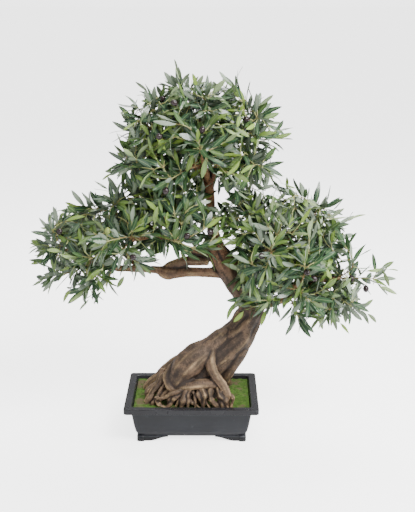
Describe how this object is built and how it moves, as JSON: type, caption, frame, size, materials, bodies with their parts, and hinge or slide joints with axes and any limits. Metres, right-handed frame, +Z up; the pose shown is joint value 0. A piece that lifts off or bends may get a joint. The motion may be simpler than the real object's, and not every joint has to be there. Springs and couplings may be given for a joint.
{
  "type": "potted bonsai tree",
  "caption": "Olive bonsai: a leaning gnarled trunk with bare roots and three pads of narrow leaves and dark olives, set on moss in a footed rectangular pot",
  "frame": {"origin": "bottom centre of the whole object's box, on the surface the pot stands on", "axes": "+Z up, +X to the right seen from the front, where the pad that reaches farthest hangs, -Y the front, which shows the crossing roots"},
  "size_m": [0.8922, 0.3806, 0.9005],
  "materials": {
    "pot": "dark slate grey moulded plastic, satin",
    "filler": "rough set potting mix with grit",
    "moss": "short bright green moss with brown worn patches",
    "bark": "dull brown bark with tan raised edges",
    "foliage": "dark green leaves with a paler underside, soft sheen"
  },
  "bodies": {
    "root": {"filler_block": "filler", "moss_mat": "moss", "pot": "pot", "spray_left_01": "foliage", "spray_left_02": "foliage", "spray_left_03": "foliage", "spray_left_04": "foliage", "spray_left_05": "foliage", "spray_left_06": "foliage", "spray_left_07": "foliage", "spray_left_08": "foliage", "spray_left_09": "foliage", "spray_left_10": "foliage", "spray_left_11": "foliage", "spray_left_12": "foliage", "spray_right_01": "foliage", "spray_right_02": "foliage", "spray_right_03": "foliage", "spray_right_04": "foliage", "spray_right_05": "foliage", "spray_right_06": "foliage", "spray_right_07": "foliage", "spray_right_08": "foliage", "spray_right_09": "foliage", "spray_right_10": "foliage", "spray_right_11": "foliage", "spray_right_12": "foliage", "spray_top_01": "foliage", "spray_top_02": "foliage", "spray_top_03": "foliage", "spray_top_04": "foliage", "spray_top_05": "foliage", "spray_top_06": "foliage", "spray_top_07": "foliage", "spray_top_08": "foliage", "spray_top_09": "foliage", "spray_top_10": "foliage", "spray_top_11": "foliage", "spray_top_12": "foliage", "trunk": "bark"}
  },
  "joints": []
}
